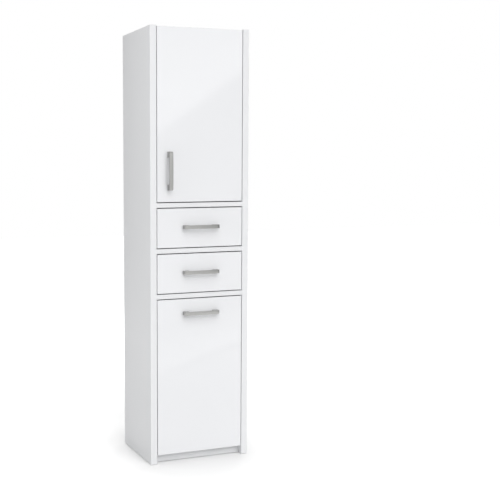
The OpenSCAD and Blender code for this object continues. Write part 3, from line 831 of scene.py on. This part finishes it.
def handle_bar(low, high, level, sizes, steps):
    """A cast bar on two feet that fills the box from low to high; level tells which way it runs"""
    along, across = (0, 2) if level else (2, 0)
    half = (high[along] - low[along]) / 2
    height = high[across] - low[across]
    reach = high.y - low.y
    gap_end = half - sizes.foot
    gap_front = sizes.bar - reach
    bow = [((i / BOW_STEPS * 2 - 1) * half, -reach) for i in range(1, BOW_STEPS)]
    outline = [
        (-half, 0), (-half, -reach), *bow, (half, -reach), (half, 0),
        (gap_end, 0), (gap_end, gap_front), (-gap_end, gap_front), (-gap_end, 0),
    ]
    bm = bmesh.new()
    verts = [bm.verts.new((x, y, 0)) for x, y in outline]
    bm.faces.new(verts)
    round_corners(bm, [verts[1], verts[1 + BOW_STEPS]], sizes.outer_corner)
    inner = [vert for vert in bm.verts if abs(vert.co.y - gap_front) < SAME_POINT]
    round_corners(bm, inner, sizes.inner_corner)
    pushed = bmesh.ops.extrude_face_region(bm, geom=bm.faces[:])["geom"]
    raised = [item for item in pushed if isinstance(item, bmesh.types.BMVert)]
    bmesh.ops.translate(bm, vec=(0, 0, height), verts=raised)
    bmesh.ops.translate(bm, vec=(0, 0, -height / 2), verts=bm.verts)
    rims = [
        edge
        for edge in bm.edges
        if abs(edge.verts[0].co.z - edge.verts[1].co.z) < SAME_POINT
        and max(vert.co.y for vert in edge.verts) < -SAME_POINT
    ]
    inside = [
        edge
        for edge in rims
        if max(abs(vert.co.x) for vert in edge.verts) < gap_end + SAME_POINT
        and min(vert.co.y for vert in edge.verts) > gap_front - SAME_POINT
    ]
    outside = [edge for edge in rims if edge not in inside]
    round_edges(bm, inside, sizes.gap_edge, steps)
    round_edges(bm, [edge for edge in outside if edge.is_valid], sizes.front_edge, steps)
    for vert in bm.verts:
        vert.co.y *= 1 - sizes.bow / reach * (vert.co.x / half) ** 2
    for face in bm.faces:
        face.smooth = face.calc_area() < ROUND_AREA
    if not level:
        upright = Matrix.Rotation(math.radians(90), 3, "Y")
        bmesh.ops.rotate(bm, cent=(0, 0, 0), matrix=upright, verts=bm.verts)
    middle = (low + high) / 2
    bmesh.ops.translate(bm, vec=(middle.x, high.y, middle.z), verts=bm.verts)
    return bm


# ---------------------------------------------------------------- operators


class CABINET_OT_boards(bpy.types.Operator):
    """Rounds the edges of the carcass boards and covers them in satin melamine"""

    bl_idname = "cabinet.boards"
    bl_label = "Carcass Boards"

    def execute(self, context):
        edges = context.scene.cabinet_edges
        ease_boards(BOARDS, "eased_", edges.board_round, edges.steps, melamine)
        dress(["back_panel"])
        return {"FINISHED"}


class CABINET_OT_fronts(bpy.types.Operator):
    """Wraps the door, drawer fronts and flap in high-gloss foil, with soft edges"""

    bl_idname = "cabinet.fronts"
    bl_label = "Gloss Fronts"

    def execute(self, context):
        edges = context.scene.cabinet_edges
        ease_boards(FRONTS, "gloss_", edges.front_round, edges.steps, gloss_foil)
        dress(["door_bumpers"])
        return {"FINISHED"}


class CABINET_OT_handles(bpy.types.Operator):
    """Casts the four bar handles in satin nickel"""

    bl_idname = "cabinet.handles"
    bl_label = "Bar Handles"

    def execute(self, context):
        edges = context.scene.cabinet_edges
        sizes = context.scene.cabinet_handle
        for node in HANDLES:
            low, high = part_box(node)
            level = high.x - low.x > high.z - low.z
            bm = handle_bar(low, high, level, sizes, edges.steps + RIM_STEPS_MORE)
            keep(bm, "cast_" + node, node, satin_nickel(upright=not level))
        dress([name for name in frame["nodes"] if "handle_screws" in name])
        return {"FINISHED"}


class CABINET_OT_drawer_boxes(bpy.types.Operator):
    """Rounds the drawer boards and finishes the drawers' bottoms"""

    bl_idname = "cabinet.drawer_boxes"
    bl_label = "Drawer Boxes"

    def execute(self, context):
        edges = context.scene.cabinet_edges
        ease_boards(DRAWER_BOARDS, "eased_", edges.board_round, edges.steps, melamine)
        dress(["drawer_bottom_upper", "drawer_bottom_lower"])
        return {"FINISHED"}


class CABINET_OT_runners(bpy.types.Operator):
    """Powder-coats the runners and gives their rollers the look of nylon"""

    bl_idname = "cabinet.runners"
    bl_label = "Runners and Rollers"

    def execute(self, context):
        dress(name for name in frame["nodes"] if "runners" in name or "rollers" in name)
        return {"FINISHED"}


class CABINET_OT_hinges(bpy.types.Operator):
    """Plates the door hinges in bright nickel"""

    bl_idname = "cabinet.hinges"
    bl_label = "Door Hinges"

    def execute(self, context):
        dress(["hinge_plates", "hinge_arms", "hinge_cups", "hinge_links", "hinge_cup_screws"])
        return {"FINISHED"}


class CABINET_OT_basket(bpy.types.Operator):
    """Coats the laundry basket's wires and finishes its clips"""

    bl_idname = "cabinet.basket"
    bl_label = "Laundry Basket"

    def execute(self, context):
        dress(name for name in frame["nodes"] if name.startswith("basket_"))
        return {"FINISHED"}


class CABINET_OT_fittings(bpy.types.Operator):
    """Finishes the cams, screws, pins, stays, bushes, glides and wall bracket"""

    bl_idname = "cabinet.fittings"
    bl_label = "Small Fittings"

    def execute(self, context):
        dress(
            [
                "shelf_pins", "cam_locks", "cam_bolts", "floor_glides", "wall_bracket",
                "wood_screws", "pivot_pins", "stay_studs", "stay_arms", "flap_bushes",
            ]
        )
        return {"FINISHED"}


# ---------------------------------------------------------------- studio

WHITE = (1, 1, 1, 1)
SENSOR_WIDTH = 36  # in millimetres
FLOOR_HALF = 12  # from the floor's middle to each side
FLOOR_PARTS = 8  # squares along each side of the floor
# The floor's glow is lower near SHADOW_MIDDLE, which paints shade round the cabinet's base on top
# of its real shadow
SHADOW_MIDDLE = (0.01, -0.005, 0.0)  # point from which the floor's glow grows
SHADOW_FROM, SHADOW_TO = 0.17, 0.54  # distances where the near glow ends and the open one starts
LAMPS_REACH = 3.2  # distance where the far glow starts
CARD_BEFORE, CARD_AFTER = 0.6, 1.8  # how far a slanted card runs past its line's lower end
LOW_CARD_SHARE = 0.8  # brightness of the low reflector next to the reflector card's


def background_rays(tree, x, y):
    """1 for the rays that see the background: from the camera, off gloss and through glass"""
    rays = add(tree, "ShaderNodeLightPath", x, y).outputs
    seen = reckoned(
        tree, "MAXIMUM", rays["Is Camera Ray"], rays["Is Glossy Ray"], x + 200, y
    )
    return reckoned(tree, "MAXIMUM", seen, rays["Is Transmission Ray"], x + 350, y)


def floor_paint(white, near, open_floor, far):
    """Matt floor paint that glows for the camera, so that the floor is white and keeps its shadow,
    with painted shade round the object

    The glow grows from near, beside the object, to open_floor, and on to far, past the lamps. The
    smaller glow beside the object is painted shade: it darkens the floor round the base, on top of
    the real shadow that the lamps and tent cast there.
    """
    material, tree, out = blank("Studio floor")
    link = tree.links.new
    matt = add(tree, "ShaderNodeBsdfDiffuse", 0, 0, {"Color": (white, white, white, 1)})
    place = add(tree, "ShaderNodeTexCoord", -900, -400)
    away = add(
        tree, "ShaderNodeVectorMath", -700, -400, {1: SHADOW_MIDDLE}, operation="DISTANCE"
    )
    link(place.outputs["Object"], away.inputs[0])
    # Painted shade: less glow beside the object, more further out
    beside = ranged(
        tree, away.outputs["Value"], (SHADOW_FROM, SHADOW_TO), (near, open_floor),
        -450, -300, "SMOOTHSTEP",
    )
    beyond = ranged(
        tree, away.outputs["Value"], (SHADOW_TO, LAMPS_REACH), (0.0, far - open_floor),
        -450, -600, "SMOOTHSTEP",
    )
    glow = reckoned(tree, "ADD", beside, beyond, -250, -400)
    lift = reckoned(tree, "MULTIPLY", background_rays(tree, -700, -200), glow, -100, -200)
    light = add(tree, "ShaderNodeEmission", 100, -200)
    both = add(tree, "ShaderNodeAddShader", 300, 0)
    link(lift, light.inputs["Strength"])
    link(matt.outputs[0], both.inputs[0])
    link(light.outputs[0], both.inputs[1])
    link(both.outputs[0], out.inputs["Surface"])
    return material


def tent(level):
    """A white tent of light that the camera, gloss and glass see as plain white"""
    world = bpy.data.worlds.new("White tent")
    bpy.context.scene.world = world
    world.use_nodes = True
    tree = world.node_tree
    tree.nodes.clear()
    strength = ranged(tree, background_rays(tree, -600, 0), (0.0, 1.0), (level, 1.0), -50, 0)
    ground = add(tree, "ShaderNodeBackground", 200, 0, {"Color": WHITE})
    out = add(tree, "ShaderNodeOutputWorld", 400, 0)
    tree.links.new(strength, ground.inputs["Strength"])
    tree.links.new(ground.outputs["Background"], out.inputs["Surface"])


def light_object(name, data):
    """Puts a light in the scene, where gloss doesn't show it"""
    made = bpy.data.objects.new(name, data)
    bpy.context.scene.collection.objects.link(made)
    made.visible_glossy = False
    return made


def lamp(name, power, size, place, aim):
    """A square lamp that points at a place and isn't seen"""
    data = bpy.data.lights.new(name, "AREA")
    data.energy = power
    data.shape = "RECTANGLE"
    data.size, data.size_y = size
    made = light_object(name, data)
    made.visible_camera = False
    made.location = place
    made.rotation_euler = (Vector(aim) - Vector(place)).to_track_quat("-Z", "Y").to_euler()


def far_lamp(name, strength, spread, toward):
    """A lamp so far off that it lights every height alike; spread is the angle that it fills"""
    data = bpy.data.lights.new(name, "SUN")
    data.energy = strength
    data.angle = spread
    made = light_object(name, data)
    made.rotation_euler = Vector(toward).to_track_quat("Z", "Y").to_euler()


def card(name, corners, material):
    """A card that only shows as a reflection in gloss"""
    bm = bmesh.new()
    bm.faces.new([bm.verts.new(corner) for corner in corners])
    made = object_of(bm, name, material)
    made.visible_camera = made.visible_diffuse = made.visible_shadow = False
    made.visible_transmission = False


def slanted_card(name, extra, distance, low, high, soft, reach):
    """An upright card whose glow starts along the line from low to high and fades out upwards

    low and high are in x and z. The glow of 1, as bright as the tent, gets extra more over twice
    soft across the line, and loses it again over reach.
    """
    run = Vector((high[0] - low[0], 0, high[1] - low[1])).normalized()
    rise = Vector((-run.z, 0, run.x))
    start = Vector((low[0], distance, low[1]))
    left, right = start - run * CARD_BEFORE, start + run * CARD_AFTER
    corners = [left - rise * soft, right - rise * soft, right + rise * reach, left + rise * reach]
    material, tree, out = blank(name)
    link = tree.links.new
    place = add(tree, "ShaderNodeTexCoord", -900, 0)
    above = add(tree, "ShaderNodeVectorMath", -700, 0, {1: rise}, operation="DOT_PRODUCT")
    link(place.outputs["Object"], above.inputs[0])
    line = start.dot(rise)
    edge = ranged(
        tree, above.outputs["Value"], (line - soft, line + soft), (0.0, extra),
        -450, 120, "SMOOTHSTEP",
    )
    fade = ranged(
        tree, above.outputs["Value"], (line + soft, line + reach), (1.0, 0.0), -450, -160
    )
    added = reckoned(tree, "MULTIPLY", edge, fade, -200, 0)
    whole = reckoned(tree, "ADD", added, 1.0, 0, 0)
    glow = add(tree, "ShaderNodeEmission", 300, 0)
    link(whole, glow.inputs["Strength"])
    link(glow.outputs["Emission"], out.inputs["Surface"])
    card(name, corners, material)


def dark_card(name, strength, start, end, height):
    """A dim upright card from start to end that darkens one side of the metal's reflections"""
    material, tree, out = blank(name)
    glow = add(tree, "ShaderNodeEmission", 300, 0, {"Strength": strength})
    tree.links.new(glow.outputs["Emission"], out.inputs["Surface"])
    corners = [(*start, 0), (*end, 0), (*end, height), (*start, height)]
    card(name, corners, material)


def camera_axes(studio):
    """Right, up and forward of the camera"""
    turn, dip, roll = studio.camera_turn, studio.camera_dip, -studio.camera_roll
    ahead = math.cos(dip)
    forward = Vector((math.sin(turn) * ahead, math.cos(turn) * ahead, -math.sin(dip)))
    level = Vector((math.cos(turn), -math.sin(turn), 0))
    rise = level.cross(forward)
    right = level * math.cos(roll) + rise * math.sin(roll)
    up = rise * math.cos(roll) - level * math.sin(roll)
    return right, up, forward


def stand_camera(studio):
    """Sets up the camera at the photograph's viewing angle"""
    scene = bpy.context.scene
    right, up, forward = camera_axes(studio)
    data = bpy.data.cameras.new("Camera")
    data.sensor_width = SENSOR_WIDTH
    data.lens = studio.lens
    data.shift_x, data.shift_y = studio.shift_x, studio.shift_y
    camera = bpy.data.objects.new("Camera", data)
    scene.collection.objects.link(camera)
    turned = Matrix((right, up, -forward)).transposed()
    camera.matrix_world = Matrix.Translation(studio.camera_place) @ turned.to_4x4()
    scene.camera = camera


def lay_floor(studio):
    """Lays the white floor"""
    bm = bmesh.new()
    bmesh.ops.create_grid(bm, x_segments=FLOOR_PARTS, y_segments=FLOOR_PARTS, size=FLOOR_HALF)
    paint = floor_paint(
        studio.floor_white, studio.near_glow, studio.open_glow, studio.far_glow
    )
    object_of(bm, "Floor", paint)


class CABINET_OT_stage(bpy.types.Operator):
    """Sets up the camera, the floor, the tent, the lamps and the cards"""

    bl_idname = "cabinet.stage"
    bl_label = "Studio and Camera"

    def execute(self, context):
        studio = context.scene.cabinet_studio
        context.scene.view_settings.view_transform = "Standard"
        stand_camera(studio)
        lay_floor(studio)
        tent(studio.sky)
        lamp(
            "Front lamp", studio.key,
            size=(2.6, 2.0), place=(1.2, -3.2, 1.95), aim=(0, 0, 1.25),
        )
        lamp(
            "Side lamp", studio.side,
            size=(0.3, 2.4), place=(-0.85, -0.3, 1.15), aim=(-0.22, -0.1, 1.05),
        )
        far_lamp("High lamp", studio.top, spread=math.radians(50), toward=(-0.08, -0.66, 0.74))
        lamp(
            "Rear lamp left", studio.rear,
            size=(1.6, 1.6), place=(0.2, 3.8, 2.6), aim=(0, 0, 0.9),
        )
        lamp(
            "Rear lamp right", studio.rear,
            size=(1.6, 1.6), place=(2.6, 2.8, 2.6), aim=(0, 0, 0.9),
        )
        slanted_card(
            "Reflector card", studio.card,
            distance=-4.0, low=(1.342, 1.565), high=(2.132, 2.103), soft=0.04, reach=2.0,
        )
        slanted_card(
            "Low reflector", studio.card * LOW_CARD_SHARE,
            distance=-1.2, low=(0.331, 0.157), high=(0.725, 0.275), soft=0.03, reach=0.25,
        )
        dark_card("Dark card", studio.flag, start=(2.6, -4.2), end=(3.4, 2.6), height=3.4)
        return {"FINISHED"}


# ---------------------------------------------------------------- panel


class CABINET_PT_pieces(bpy.types.Panel):
    """Lists the cabinet's pieces in the sidebar"""

    bl_label = "Cabinet"
    bl_space_type = "VIEW_3D"
    bl_region_type = "UI"
    bl_category = "Cabinet"

    def draw(self, context):
        for name in GROUPS:
            group = getattr(context.scene, name)
            box = self.layout.box()
            for setting in group.__annotations__:
                box.prop(group, setting)
        for operator in OPERATORS:
            self.layout.operator(operator.bl_idname)


OPERATORS = (
    CABINET_OT_stage,
    CABINET_OT_boards,
    CABINET_OT_fronts,
    CABINET_OT_handles,
    CABINET_OT_drawer_boxes,
    CABINET_OT_runners,
    CABINET_OT_hinges,
    CABINET_OT_basket,
    CABINET_OT_fittings,
)
GROUPS = {
    "cabinet_edges": CabinetEdges,
    "cabinet_handle": HandleSizes,
    "cabinet_finishes": CabinetFinishes,
    "cabinet_studio": StudioSettings,
}


def register():
    """Makes the settings, operators and panel known"""
    for name, group in GROUPS.items():
        bpy.utils.register_class(group)
        setattr(bpy.types.Scene, name, PointerProperty(type=group))
    for made in (*OPERATORS, CABINET_PT_pieces):
        bpy.utils.register_class(made)


def unregister():
    """Takes the settings, operators and panel away again"""
    for made in reversed((*OPERATORS, CABINET_PT_pieces)):
        bpy.utils.unregister_class(made)
    for name, group in GROUPS.items():
        delattr(bpy.types.Scene, name)
        bpy.utils.unregister_class(group)


def main():
    """Builds every piece in turn"""
    register()
    bpy.ops.cabinet.stage()
    bpy.ops.cabinet.boards()
    bpy.ops.cabinet.fronts()
    bpy.ops.cabinet.handles()
    bpy.ops.cabinet.drawer_boxes()
    bpy.ops.cabinet.runners()
    bpy.ops.cabinet.hinges()
    bpy.ops.cabinet.basket()
    bpy.ops.cabinet.fittings()


if __name__ == "__main__":
    main()
